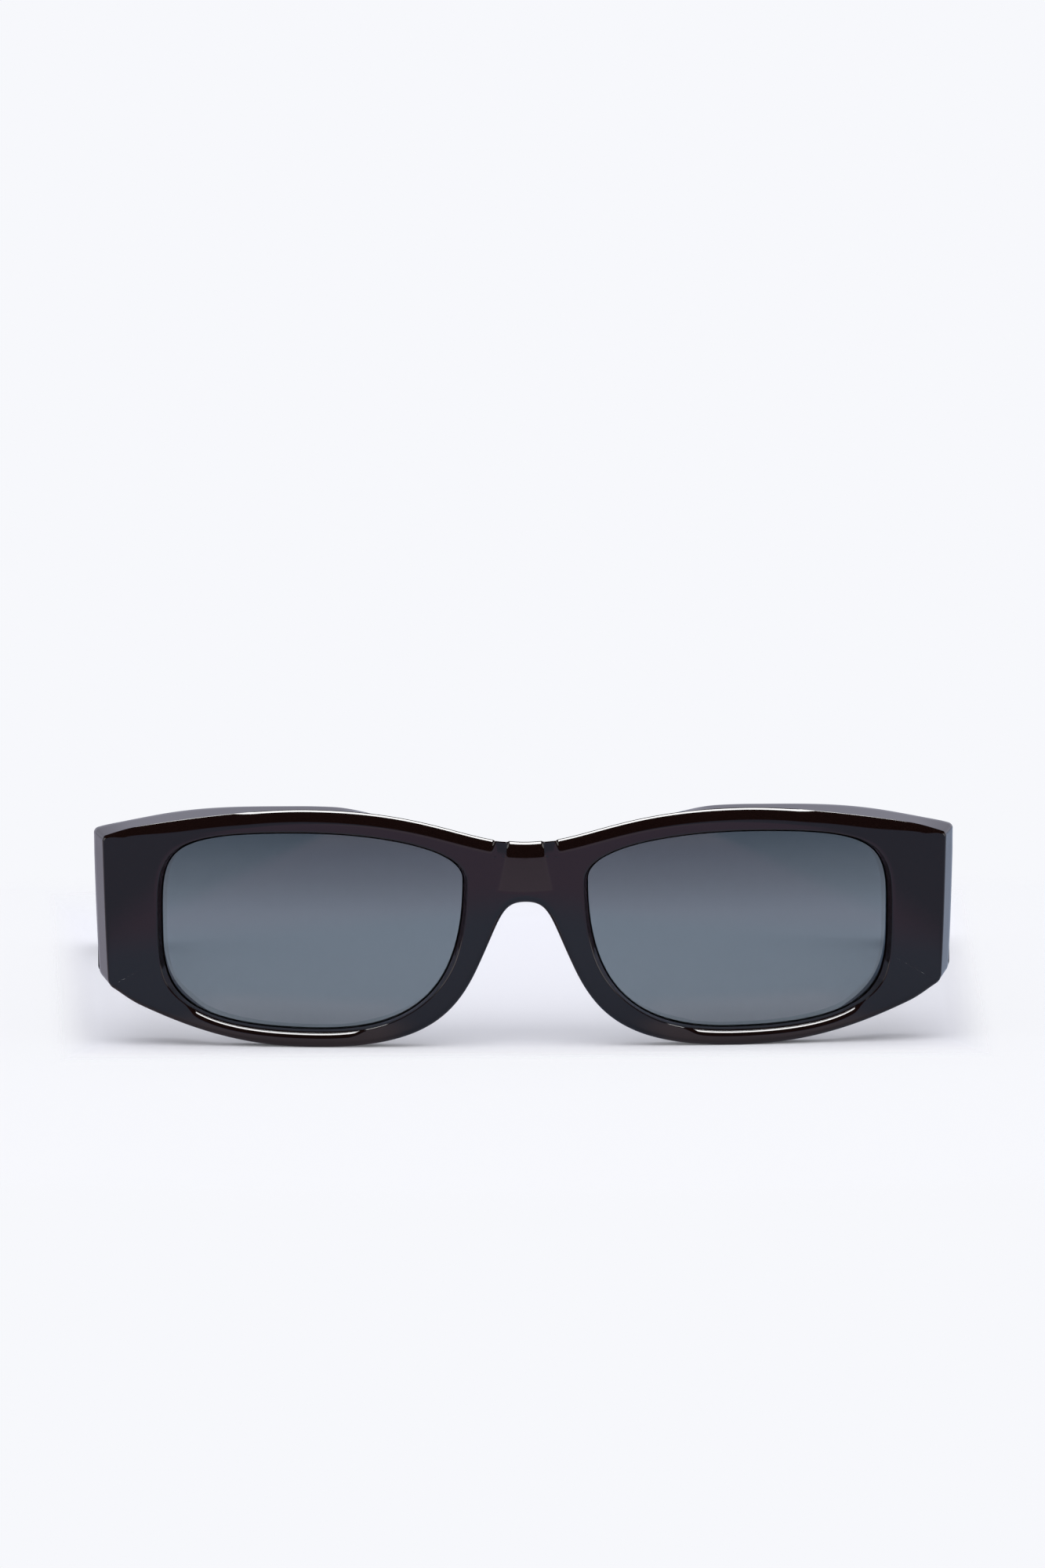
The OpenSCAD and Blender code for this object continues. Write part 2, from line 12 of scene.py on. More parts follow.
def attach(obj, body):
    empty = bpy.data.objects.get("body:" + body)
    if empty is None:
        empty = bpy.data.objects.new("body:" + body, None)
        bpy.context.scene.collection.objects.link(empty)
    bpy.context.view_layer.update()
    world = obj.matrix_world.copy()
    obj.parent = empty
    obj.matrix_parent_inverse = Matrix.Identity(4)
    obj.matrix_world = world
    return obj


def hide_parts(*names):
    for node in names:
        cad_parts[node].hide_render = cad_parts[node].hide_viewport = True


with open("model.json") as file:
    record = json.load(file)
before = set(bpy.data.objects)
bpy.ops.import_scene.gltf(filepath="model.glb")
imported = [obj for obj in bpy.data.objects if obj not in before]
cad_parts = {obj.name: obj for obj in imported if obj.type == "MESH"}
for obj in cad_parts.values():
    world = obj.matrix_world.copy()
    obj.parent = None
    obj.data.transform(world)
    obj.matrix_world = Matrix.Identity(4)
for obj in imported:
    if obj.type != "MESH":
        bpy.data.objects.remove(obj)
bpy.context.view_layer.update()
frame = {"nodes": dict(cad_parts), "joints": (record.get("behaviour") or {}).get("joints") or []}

# Front frame. One piece of cellulose acetate milled from a thick sheet, with deeper blocks laminated
# behind the two ends, a groove round each opening for the lens, and every edge rolled over and polished.

mm = 0.001
# Sizes in millimetres: w runs across, h up, d from the face back, t is a thickness and r a radius
lens_w, lens_h = 50.8, 33.4
bridge_w, bridge_h, bridge_drop, bridge_fall = 21.2, 10.1, 5.5, 1.15
end_w, end_h, end_d, end_drop, end_slant = 11.7, 25.5, 10.0, 5.1, 0.6
rim_d, brow_h, sill_h, nasal_w = 6.0, 4.5, 2.7, 2.4
flank_z, flank_angle = 13.6, 65.0
face_r, top_corner_r, low_corner_r = 380.0, 0.7, 1.2
wall_flare, wall_r, back_flare, back_r, back_corner_r = 0.7, 0.3, 0.5, 1.1, 0.55
edge_r, brow_roll, outer_roll, side_edge = 1.0, 2.6, 1.4, 0.5
relief_half, relief_d, relief_slope, relief_h = 5.1, 0.8, 0.36, 8.4
lean = math.radians(4)
# From crisp_from outwards the brow's roll starts as a crisp edge, already turned by crisp_turn
crisp_from, crisp_turn = 43.5, math.radians(40)
# The outer side leans out, from side_in within the outline at the face to side_out beyond it at the back
side_in, side_out = 1.6, 0.4
# The groove fits the lens, and the end piece leaves room for the temple and the hinge's barrels
lens_t, lens_r, lens_set, ridge_h, ridge_t, play = 1.8, 265.0, 3.0, 0.6, 0.9, 0.05
temple_t, barrel_r, barrel_gap = 5.0, 1.5, 0.2


def wrap_at(x):
    """How far the wide curve across the front has swept back at x."""
    return face_r - np.sqrt(face_r ** 2 - x ** 2)


half_w = bridge_w / 2 + lens_w + end_w
front_h = sill_h + lens_h + brow_h
lens_x, lens_z = (bridge_w + lens_w) / 2, sill_h + lens_h / 2
bridge_top, end_top = front_h - bridge_drop, front_h - end_drop
arch_top, end_low = bridge_top - bridge_h, end_top - end_h
flank_x = bridge_w / 2 - nasal_w
back_y, hinge_z = wrap_at(half_w) + end_d, (end_top + end_low) / 2
pivot = np.array([half_w - temple_t - barrel_gap - barrel_r, back_y + barrel_gap + barrel_r, hinge_z])


def stood(points):
    """Points in millimetres, upright, to metres on the table: leant, then moved so that the pivot fits."""
    turn = np.array([[1, 0, 0],
                     [0, math.cos(lean), -math.sin(lean)],
                     [0, math.sin(lean), math.cos(lean)]])
    seat = next(j for j in frame["joints"] if j["name"] == "fold_left")["pos_m"]
    shift = np.array(seat) - turn @ pivot * mm
    return np.asarray(points, float) @ turn.T * mm + [0, shift[1], shift[2]]


def along(degrees):
    return np.array([math.cos(math.radians(degrees)), math.sin(math.radians(degrees))])


def bezier(p, t):
    """Points on the cubic curve with the given ends and the two handles between them."""
    p, t = np.array(p, float), np.asarray(t, float)[:, None]
    u = 1 - t
    return u ** 3 * p[0] + 3 * u * u * t * p[1] + 3 * u * t * t * p[2] + t ** 3 * p[3]


def run(p, n):
    """n points on a curve, without its last one, which starts the next curve."""
    return bezier(p, np.arange(n) / n)


def mix(a, b, t):
    return a + (b - a) * t


def rise(x, start, end):
    """0 up to the start, 1 from the end on, and a smooth step between."""
    t = np.clip((x - start) / (end - start), 0, 1)
    return t * t * (3 - 2 * t)


def rounded(a, tip, b):
    return [a, mix(a, tip, 0.55), mix(b, tip, 0.55), b]


def left_of(d):
    return np.stack([-d[:, 1], d[:, 0]], 1) / np.linalg.norm(d, axis=1)[:, None]


def lens_outline(n):
    """The lens opening about its own centre: four curves between its outermost points."""
    top, outer = np.array([0.02 * lens_w, lens_h / 2]), np.array([lens_w / 2, 0.06 * lens_h])
    low, inner = np.array([-0.02 * lens_w, -lens_h / 2]), np.array([-lens_w / 2, 0.271 * lens_h])
    right, up = np.array([1, 0]), np.array([0, 1])
    return np.concatenate([run(c, n) for c in (
        [top, top + (outer - top) * right, outer + 0.776 * (top - outer) * up, outer],
        [outer, outer - 0.59 * (outer - low) * up, low + (outer - low) * right, low],
        [low, low - 0.6 * (low - inner) * right, inner - 0.79 * (inner - low) * up, inner],
        [inner, inner + 0.737 * (top - inner) * up, top - 0.4 * (top - inner) * right, top])])


# Rays from the aim, a point within the opening, pair the outline with the edge of the opening
aim = np.array([lens_x, max(lens_z, arch_top + 4)])
rim = lens_outline(160) + [lens_x, lens_z] - aim
rim_out = left_of(np.roll(rim, -1, 0) - np.roll(rim, 1, 0))
rim_turn = np.arctan2(rim[:, 1], rim[:, 0])
sweep = np.argsort(rim_turn)


def rim_towards(q):
    """Where rays from the aim through the points cross the edge of the opening, and which way that faces."""
    turn = np.arctan2(q[:, 1] - aim[1], q[:, 0] - aim[0])
    far, x, z = (np.interp(turn, rim_turn[sweep], v[sweep], period=2 * math.pi)
                 for v in (np.linalg.norm(rim, axis=1), rim_out[:, 0], rim_out[:, 1]))
    return aim + far[:, None] * np.stack([np.cos(turn), np.sin(turn)], 1), np.stack([x, z], 1)


brow_x = lens_x + 1
top_corner, low_corner = np.array([half_w, end_top]), np.array([half_w - end_slant, end_low])
brow_way, sill_way = along(162), along(206)
top_in, top_out = top_corner + top_corner_r * brow_way, top_corner + top_corner_r * along(-90)
low_in, low_out = low_corner + low_corner_r * along(90), low_corner + low_corner_r * sill_way
flank, steep = np.array([flank_x, flank_z]), along(180 - flank_angle)
# Half the outline, from the top of the bridge round the end piece to the arch. Each curve has its two
# ends, the handles between them and its number of points
half_outline = [
    ([[0, bridge_top], [0.276 * brow_x, bridge_top], [0.431 * brow_x, front_h], [brow_x, front_h]], 130),
    ([[brow_x, front_h], [brow_x + 0.34 * (half_w - brow_x), front_h],
      top_in + 0.12 * (half_w - brow_x) * brow_way, top_in], 70),
    (rounded(top_in, top_corner, top_out), 20),
    ([top_out, mix(top_out, low_in, 0.33) + [0.15 * end_slant, 0],
      mix(top_out, low_in, 0.67) + [0.3 * end_slant, 0], low_in], 40),
    (rounded(low_in, low_corner, low_out), 20),
    ([low_out, low_out + 0.386 * (half_w - lens_x) * sill_way, [mix(lens_x, half_w, 0.36), 0],
      [lens_x, 0]], 70),
    ([[lens_x, 0], [lens_x - 0.655 * (lens_x - flank_x), 0], flank - 0.69 * flank_z * steep, flank], 70),
    ([flank, flank + 0.84 * (arch_top - flank_z) * steep, [0.506 * flank_x, arch_top], [0, arch_top]], 50)]
outline = np.concatenate([run(c, n) for c, n in half_outline] + [[[0, arch_top]]])
last = len(outline) - 1


def flared(q, share):
    """The outer side of the end piece leans out towards the back: share 0 at the face, 1 at the back."""
    near_side = rise(q[:, 0], half_w - 8, half_w)
    return q + np.stack([near_side * mix(-side_in, side_out, share), 0 * near_side], 1)


def facing_out(q):
    d = np.empty_like(q)
    d[1:-1] = left_of(q[2:] - q[:-2])
    d[0], d[-1] = (0, 1), (0, -1)
    return d


near_corner = 1 - rise(np.linalg.norm(outline - top_corner, axis=1), 1, 5)
rear_outline, outline = flared(outline, 1), flared(outline, 0)
out_dir, rear_dir = facing_out(outline), facing_out(rear_outline)
upward, sideways = rise(out_dir[:, 1], 0.2, 0.8), rise(out_dir[:, 0], 0.5, 0.9)
inner_x = np.abs(outline[:, 0])
# The two side facets of the sunken field cut through the rolled brow
facet_d = 0.1
facet = upward * rise(inner_x, 2.75, 3.05) * (1 - rise(inner_x, 5.15, 5.45))
brow_w = mix(brow_roll, outer_roll, rise(inner_x, half_w - 16, half_w - 4))
edge_w = mix(mix(edge_r, brow_w, upward), side_edge, np.maximum(near_corner, sideways))
# Towards the end piece the rolled brow meets the top in a crisp edge, and is shallower
crisp = upward * rise(inner_x, crisp_from, crisp_from + 8)
edge_d = mix(edge_r, facet_d, facet) * (1 - 0.4 * crisp)
# The top of the bridge falls away to the back
fall = bridge_fall * rise(out_dir[:, 1], 0.3, 0.8) * (1 - rise(inner_x, 19.5, 32.5))

# Points up the middle of the bridge close the half front, so that its mirror image joins on
mid = np.linspace(arch_top + edge_w[-1], bridge_top - edge_w[0], 22)[1:-1]
across = np.stack([0 * mid, mid], 1)
stations, rear_stations = np.concatenate([outline, across]), np.concatenate([rear_outline, across])


def closed(values):
    """The outline's values, with zeros for the points up the middle, which have no edge."""
    return np.concatenate([values, np.zeros((len(mid), *values.shape[1:]))])


out_dir, rear_dir = closed(out_dir), closed(rear_dir)
room = np.linalg.norm(stations - rim_towards(stations)[0], axis=1) - wall_flare - wall_r
edge_w, edge_d = np.minimum(closed(edge_w), 0.8 * room), np.minimum(closed(edge_d), 1.1 * room)
lips, lip_dir = rim_towards(stations - edge_w[:, None] * out_dir)
fall, crisp = closed(fall), closed(crisp)
back_w = mix(back_r, back_corner_r, closed(near_corner))


def face_at(q):
    """Depth of the face: a wide curve across the front, and the sunken field on the bridge."""
    side = (relief_half - np.abs(q[..., 0])) * relief_slope
    floor = (q[..., 1] - bridge_top + relief_h) * relief_d / relief_h
    return np.maximum(wrap_at(q[..., 0]), np.minimum(side, floor))


seat_gap, deeper_from, deeper_drift = 0.03, 2, 14


def back_at(q):
    """Depth of the back: the rim's thickness, growing to the flat back of the end piece."""
    start = lens_x + deeper_from + deeper_drift * np.maximum(0, lens_z - q[..., 1]) / lens_z
    grown = rise(q[..., 0], start, half_w - end_w + 1)
    return mix(wrap_at(q[..., 0]) + rim_d, back_y - seat_gap, grown)


wrap = math.asin(lens_x / face_r)
ball = np.array([lens_x - lens_r * math.sin(wrap),
                 wrap_at(lens_x) + lens_set + lens_r * math.cos(wrap), lens_z])


def shell_at(q, inset):
    """Depth of the lens's domed front, or of a surface that lies inset behind it."""
    return ball[1] - np.sqrt((lens_r - inset) ** 2 - (q[..., 0] - ball[0]) ** 2 - (q[..., 1] - ball[2]) ** 2)


rows, depths = [], []


def add_row(q, y):
    rows.append(q)
    depths.append(y)


# Each row holds one point for every station of the outline, and the rows follow the section round.
# First the rolled edge
roll_shares = [0, 0.03, 0.1, 0.19, 0.3, 0.41, 0.52, 0.63, 0.74, 0.84, 0.92, 1]
begin = crisp * crisp_turn
for share in roll_shares:
    a = mix(begin, math.pi / 2, share)
    q = stations - (edge_w * (1 - np.cos(a) / np.cos(begin)))[:, None] * out_dir
    add_row(q, face_at(q) + edge_d * (1 - np.sin(a)) / (1 - np.sin(begin)))

# The face. Under the lens the wall stands steeper, with a finer arris, and a fuller one further out
steeper, finer, fuller = 0.6, 0.15, 0.95
downward = rise(-lip_dir[:, 1], 0.3, 0.9)
outer_low = downward * rise(lip_dir[:, 0], -0.22, -0.1) * (1 - rise(lip_dir[:, 0], 0.46, 0.66))
arris = (wall_r - finer * downward + fuller * outer_low)[:, None]
flare = (wall_flare - steeper * downward)[:, None]
face_out, face_in = stations - edge_w[:, None] * out_dir, lips + (flare + arris) * lip_dir
span = face_in - face_out
# Its rows keep to the creases of the sunken field: the foot of the side facets, then the outer border
foot_slope = relief_d / (relief_h * relief_slope)
cross_foot = (relief_half - face_out[:, 0] - (face_out[:, 1] - bridge_top + relief_h) * foot_slope) / (
    span[:, 0] + span[:, 1] * foot_slope + 1e-9)
cross_side = (relief_half - face_out[:, 0]) / (span[:, 0] + 1e-9)
near = (face_out[:, 0] < relief_half) & (face_out[:, 1] > bridge_top - relief_h) & (face_out[:, 0] > -1)
least_gap, spread_over = 0.04, 14
t_foot = np.where(near, np.clip(cross_foot, least_gap, 0.8), 0.3)
t_side = np.where(near, np.clip(cross_side, t_foot + least_gap, 0.9), 0.55)
index = np.arange(len(stations))
beside_field = [(i + k) % len(stations) for i in index[near] for k in range(-spread_over, spread_over + 1)]
settled = near | ~np.isin(index, beside_field)
t_foot, t_side = (np.interp(index, index[settled], t[settled]) for t in (t_foot, t_side))
for low, high, count in ((0, t_foot, 6), (t_foot, t_side, 5), (t_side, 1, 8)):
    for k in range(count):
        t = low + (high - low) * (k + 1) / count
        q = face_out + np.broadcast_to(t, len(stations))[:, None] * span
        add_row(q, face_at(q))

# The arris and the wall down to the lip, the groove, and the wall behind it with its own arris
for a in np.radians([12, 24, 36, 48, 60, 75, 90]):
    q = lips + (flare + arris - arris * math.sin(a)) * lip_dir
    add_row(q, face_at(q) + (arris - arris * math.cos(a))[:, 0])
wall_in, lip = lips + flare * lip_dir, lips + play * lip_dir
pit = lips + (ridge_h + play) * lip_dir
groove_in = (lens_t - ridge_t) / 2 - play
groove_out = (lens_t + ridge_t) / 2 + play
for k in (1, 2, 3):
    q = mix(wall_in, lip, k / 3)
    add_row(q, mix(face_at(wall_in) + arris[:, 0], shell_at(lip, groove_in), k / 3))
add_row(pit, shell_at(pit, groove_in))
add_row(pit, shell_at(pit, groove_out))
rear_in = lips + back_flare * lip_dir
for k in (0, 1, 2, 3):
    q = mix(lip, rear_in, k / 3)
    add_row(q, mix(shell_at(lip, groove_out), back_at(rear_in) - wall_r, k / 3))
for a in np.radians([22, 45, 68, 90]):
    q = lips + (back_flare + wall_r - wall_r * math.cos(a)) * lip_dir
    add_row(q, back_at(q) - wall_r + wall_r * math.sin(a))

# The back, its rounded outer edge, and the outer side up to the first row
rear_edge = lips + (back_flare + wall_r) * lip_dir
rear_out = rear_stations - (fall + back_w)[:, None] * rear_dir
for k in range(1, 13):
    q = mix(rear_edge, rear_out, k / 12)
    add_row(q, back_at(q))
back_turns = [15, 30, 45, 60, 75, 90]
for a in np.radians(back_turns):
    q = rear_stations - (fall + back_w * (1 - math.sin(a)))[:, None] * rear_dir
    add_row(q, back_at(q) - back_w * (1 - math.cos(a)))
brink = rear_stations - fall[:, None] * rear_dir
side_from, side_to = back_at(brink) - back_w, face_at(stations) + edge_d
side_shares = [0.2, 0.4, 0.6, 0.8, 0.99]
for share in side_shares:
    add_row(mix(brink, stations, share), mix(side_from, side_to, share))

# The points up the middle need only the faces from the face's rows to the back's
ring = len(rows)
first_face, last_back = len(roll_shares) - 1, ring - len(side_shares) - len(back_turns) - 1
points = np.stack([np.stack([q[:, 0], y, q[:, 1]], 1) for q, y in zip(rows, depths)], 1).reshape(-1, 3)
quads = []
for i in range(len(stations)):
    beside = (i + 1) % len(stations)
    for j in range(ring):
        if i < last or first_face <= j < last_back:
            after = (j + 1) % ring
            quads.append((i * ring + j, i * ring + after, beside * ring + after, beside * ring + j))


def make_mesh(name, points, faces, body, material, replaced, flip=False):
    """A smooth-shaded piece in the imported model's frame, riding on its body."""
    mesh = bpy.data.meshes.new(name)
    faces = [tuple(reversed(f)) for f in faces] if flip else faces
    mesh.from_pydata([tuple(v) for v in points], [], faces)
    mesh.polygons.foreach_set("use_smooth", [True] * len(mesh.polygons))
    piece = bpy.data.objects.new(name, mesh)
    bpy.context.scene.collection.objects.link(piece)
    mesh.materials.append(material)
    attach(piece, body)
    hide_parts(replaced)
    return piece


def new_material(name):
    material = bpy.data.materials.new(name)
    material.use_nodes = True
    tree = material.node_tree
    return material, tree, tree.nodes["Principled BSDF"]


def add_node(tree, kind, **values):
    """A node whose inputs of these names have these values."""
    made = tree.nodes.new(kind)
    for name, value in values.items():
        made.inputs[name.replace("_", " ")].default_value = value
    return made


def maths(tree, operation, *terms):
    """One step of arithmetic on numbers and other nodes' outputs."""
    step = tree.nodes.new("ShaderNodeMath")
    step.operation = operation
    for socket, term in zip(step.inputs, terms):
        if isinstance(term, float):
            socket.default_value = term
        else:
            tree.links.new(term, socket)
    return step.outputs["Value"]


def ramp(tree, source, low, high, to_low=0.0, to_high=1.0, kind="LINEAR"):
    step = add_node(tree, "ShaderNodeMapRange", From_Min=low, From_Max=high, To_Min=to_low, To_Max=to_high)
    step.interpolation_type = kind
    tree.links.new(source, step.inputs["Value"])
    return step.outputs["Result"]


def blend_of(tree, share, first, second):
    """A colour between two, each of them given as a colour or as another node's output."""
    mixed = tree.nodes.new("ShaderNodeMix")
    mixed.data_type = "RGBA"
    for name, value in (("Factor", share), ("A", first), ("B", second)):
        if isinstance(value, tuple):
            mixed.inputs[name].default_value = (*value, 1)
        else:
            tree.links.new(value, mixed.inputs[name])
    return mixed.outputs["Result"]


def cloudy(tree, scale, detail):
    """A noise that has no direction."""
    place = tree.nodes.new("ShaderNodeTexCoord")
    noise = add_node(tree, "ShaderNodeTexNoise", Scale=scale, Detail=detail)
    tree.links.new(place.outputs["Object"], noise.inputs["Vector"])
    return noise.outputs["Fac"]


def streaky(tree, scale, detail, turn=(0, 0, 0)):
    """A noise drawn out into streaks along the axis with the lowest scale."""
    place = tree.nodes.new("ShaderNodeTexCoord")
    stretch = add_node(tree, "ShaderNodeMapping", Scale=scale, Rotation=turn)
    tree.links.new(place.outputs["Object"], stretch.inputs["Vector"])
    noise = add_node(tree, "ShaderNodeTexNoise", Scale=1, Detail=detail)
    tree.links.new(stretch.outputs["Vector"], noise.inputs["Vector"])
    return noise.outputs["Fac"]


def bumped(tree, height, strength, distance):
    bump = add_node(tree, "ShaderNodeBump", Strength=strength, Distance=distance)
    tree.links.new(height, bump.inputs["Height"])
    return bump.outputs["Normal"]


def polish_group():
    """Hand-polished plastic: a slow waviness of the surface and fine wiping marks in the gloss."""
    tree = bpy.data.node_groups.new("hand_polish", "ShaderNodeTree")
    for name, value in (("Waviness", 0.02), ("Gloss", 0.05), ("Marks", 0.04)):
        socket = tree.interface.new_socket(name, in_out="INPUT", socket_type="NodeSocketFloat")
        socket.default_value = value
    for name in ("Roughness", "Height"):
        tree.interface.new_socket(name, in_out="OUTPUT", socket_type="NodeSocketFloat")
    given, made = tree.nodes.new("NodeGroupInput"), tree.nodes.new("NodeGroupOutput")
    marks = ramp(tree, streaky(tree, (260, 900, 2600), 3, (0.1, 0.5, 0.3)), 0.52, 0.8)
    gloss = maths(tree, "MULTIPLY_ADD", marks, given.outputs["Marks"], given.outputs["Gloss"])
    tree.links.new(gloss, made.inputs["Roughness"])
    waves = maths(tree, "MULTIPLY", cloudy(tree, 70, 1), given.outputs["Waviness"])
    tree.links.new(waves, made.inputs["Height"])
    return tree


polish = polish_group()


def acetate_material(name, shallow, deep, waviness):
    """Dyed cellulose acetate: nearly black, warm brown where the dye is thinner, polished to a wet gloss."""
    material, tree, shader = new_material(name)
    link = tree.links.new
    link(blend_of(tree, cloudy(tree, 45, 4), deep, shallow), shader.inputs["Base Color"])
    finish = tree.nodes.new("ShaderNodeGroup")
    finish.node_tree = polish
    for name, value in (("Waviness", waviness), ("Gloss", 0.035), ("Marks", 0.03)):
        finish.inputs[name].default_value = value
    link(finish.outputs["Roughness"], shader.inputs["Roughness"])
    link(bumped(tree, finish.outputs["Height"], 0.25, 0.2 * mm), shader.inputs["Normal"])
    shader.inputs["IOR"].default_value = 1.47
    return material


acetate = acetate_material("polished_acetate", (0.0076, 0.0034, 0.0028), (0.0056, 0.0024, 0.0021), 0.12)
both_halves = np.concatenate([points, points * [-1, 1, 1]])
both_quads = quads + [tuple(v + len(points) for v in reversed(f)) for f in quads]
front = make_mesh("acetate_front", stood(both_halves), both_quads, "front", acetate, "front_frame")
weld = front.modifiers.new("halves_joined", "WELD")
weld.merge_threshold = 0.002 * mm

# Lenses. Cast smoke grey polymer, cut from a domed blank, with a ridge ground round the edge that snaps
# into the groove of the rim. The lens's colour darkens towards the top, and the edge is left matt as ground.


def lens_material():
    material, tree, shader = new_material("smoke_lens")
    place = tree.nodes.new("ShaderNodeTexCoord")
    apart = tree.nodes.new("ShaderNodeSeparateXYZ")
    tree.links.new(place.outputs["Object"], apart.inputs["Vector"])
    tint = tree.nodes.new("ShaderNodeValToRGB")
    stops = tint.color_ramp.elements
    shades = ((0.14, (0.188, 0.221, 0.246)), (0.56, (0.158, 0.188, 0.213)),
              (0.70, (0.110, 0.132, 0.150)), (0.92, (0.050, 0.064, 0.076)))
    while len(stops) < len(shades):
        stops.new(0.5)
    for stop, (height, colour) in zip(stops, shades):
        stop.position, stop.color = height, (*colour, 1)
    tree.links.new(ramp(tree, apart.outputs["Z"], 0, 40 * mm), tint.inputs["Fac"])
    tree.links.new(tint.outputs["Color"], shader.inputs["Base Color"])
    for name, value in (("Transmission Weight", 1.0), ("Roughness", 0.0), ("IOR", 1.5)):
        shader.inputs[name].default_value = value
    return material


smoke = lens_material()
ground, _, shader = new_material("ground_edge")
shader.inputs["Base Color"].default_value = (0.012, 0.013, 0.015, 1)
shader.inputs["Roughness"].default_value = 0.7


def lens_mesh(side):
    """The lens as rings of points from the middle of its front, over the ridge, to the middle of its back."""
    spoke = lens_outline(60)
    direction = left_of(np.roll(spoke, -1, 0) - np.roll(spoke, 1, 0))
    centre = np.array([lens_x, lens_z])
    grid, depth = [], []
    shares = [0.12, 0.25, 0.37, 0.48, 0.58, 0.67, 0.75, 0.82, 0.88, 0.93, 0.97, 1.0]

    def at(q, inset):
        grid.append(q)
        depth.append(shell_at(q, inset))

    for s in shares:
        at(centre + s * spoke, 0)
    ridge, bevel = (lens_t - ridge_t) / 2, 0.15
    at(centre + spoke, ridge)
    at(centre + spoke + ridge_h * direction, ridge + bevel)
    at(centre + spoke + ridge_h * direction, ridge + ridge_t - bevel)
    at(centre + spoke, ridge + ridge_t)
    for s in reversed(shares):
        at(centre + s * spoke, lens_t)
    count, rings = len(spoke), len(grid)
    pts = [np.stack([q[:, 0], y, q[:, 1]], 1) for q, y in zip(grid, depth)]
    poles = [[centre[0], float(shell_at(centre, inset)), centre[1]] for inset in (0, lens_t)]
    pts = np.concatenate(pts + [np.array(poles)]) * [side, 1, 1]
    faces = []
    for r in range(rings - 1):
        here, there = r * count, (r + 1) * count
        faces += [(here + k, there + k, there + (k + 1) % count, here + (k + 1) % count)
                  for k in range(count)]
    last_ring, front_pole, back_pole = (rings - 1) * count, rings * count, rings * count + 1
    faces += [(front_pole, k, (k + 1) % count) for k in range(count)]
    faces += [(last_ring + (k + 1) % count, last_ring + k, back_pole) for k in range(count)]
    in_groove = range((len(shares) - 1) * count, (len(shares) + 4) * count)
    return pts, faces, in_groove


for side, name in ((1, "left"), (-1, "right")):
    pts, faces, in_groove = lens_mesh(side)
    lens = make_mesh(f"smoke_lens_{name}", stood(pts), faces, "front", smoke, f"lens_{name}",
                     flip=side > 0)
    lens.data.materials.append(ground)
    for k in in_groove:
        lens.data.polygons[k].material_index = 1
    split = lens.modifiers.new("sharp_edge", "EDGE_SPLIT")
    split.split_angle = math.radians(40)

# Nose pads. Small wings of the same acetate, bonded behind the nasal rims and polished.
# Each is a flat oval that swells in the middle and slants outwards as it runs back.

pad_len, pad_t, pad_reach, pad_splay = 13.0, 2.2, 4.2, math.radians(5)
pad_rings, pad_sides, pad_bond, pad_clear = 28, 32, 0.4, 0.1


def tube(rings, sides):
    """The faces of a closed tube: rings of points one after another, and a flat cap on each end."""
    faces = []
    for r in range(rings - 1):
        here, there = r * sides, (r + 1) * sides
        faces += [(here + k, here + (k + 1) % sides, there + (k + 1) % sides, there + k)
                  for k in range(sides)]
    caps = [tuple(range(sides - 1, -1, -1)), tuple((rings - 1) * sides + k for k in range(sides))]
    return faces + caps


def pad_points(side):
    foot = flank - pad_len / 2 * steep + [pad_t / 2 + pad_clear, 0]
    across = np.array([steep[1], -steep[0]])
    pts = []
    for i in range(pad_rings + 1):
        t = i / pad_rings
        size = max(0.05, math.sqrt(max(0, math.sin(math.pi * t))))
        c = foot + pad_len * t * steep
        root = float(back_at(c)) - pad_bond
        reach = (pad_reach + pad_bond) * size * mix(1.1, 0.8, t)
        for k in range(pad_sides):
            a = -k * 2 * math.pi / pad_sides
            back = reach * (1 - math.cos(a)) / 2
            q = c + (pad_t / 2 * size * math.sin(a) + back * math.tan(pad_splay)) * across
            pts.append([q[0] * side, root + back, q[1]])
    return np.array(pts)


for side, name in ((1, "left"), (-1, "right")):
    make_mesh(f"bonded_pad_{name}", stood(pad_points(side)), tube(pad_rings + 1, pad_sides), "front",
              acetate, f"nose_pad_{name}", flip=side > 0)

# Temples. Straight tapering bars of the same acetate, bent down and inwards behind the ear, with a
# flat butt at the hinge and long edges rounded over.

temple_run, ear_run, temple_h, ear_h, tip_h = 98.0, 42.0, 25.0, 11.5, 10.5
tip_t, panto, tip_angle = 3.8, 7.0, 27.0
splay, tip_in, temple_r, butt_gap, butt_r = math.radians(4.3), 3.0, 1.3, 0.15, 0.35
ear_t = mix(temple_t, tip_t, 0.6)
# The stations that round the butt's edges, as shares of the straight part, and the steps of the rest
butt_shares = [0, 0.0004, 0.0012, 0.0025, 0.0045]
run_steps, ear_steps, tip_steps, corner_steps, side_steps = 60, 50, 14, 7, 6
temple_y = back_y + butt_gap
ear_y = temple_y + temple_run * math.cos(math.radians(panto))
ear_start = np.array([ear_y, hinge_z - temple_run * math.sin(math.radians(panto))])


def temple_x(y):
    """The temple's middle seen from above: splayed outwards, and drawn in again behind the ear."""
    t = max(0, y - ear_y) / ear_run
    return half_w - temple_t / 2 + (y - temple_y) * math.tan(splay) - tip_in * t * t * (1.5 - 0.5 * t)


def ear_curve(drop):
    end, handle = np.array([ear_y + ear_run, drop]), 0.36 * ear_run
    return [ear_start, ear_start + handle * along(-panto), end - handle * along(-tip_angle), end]


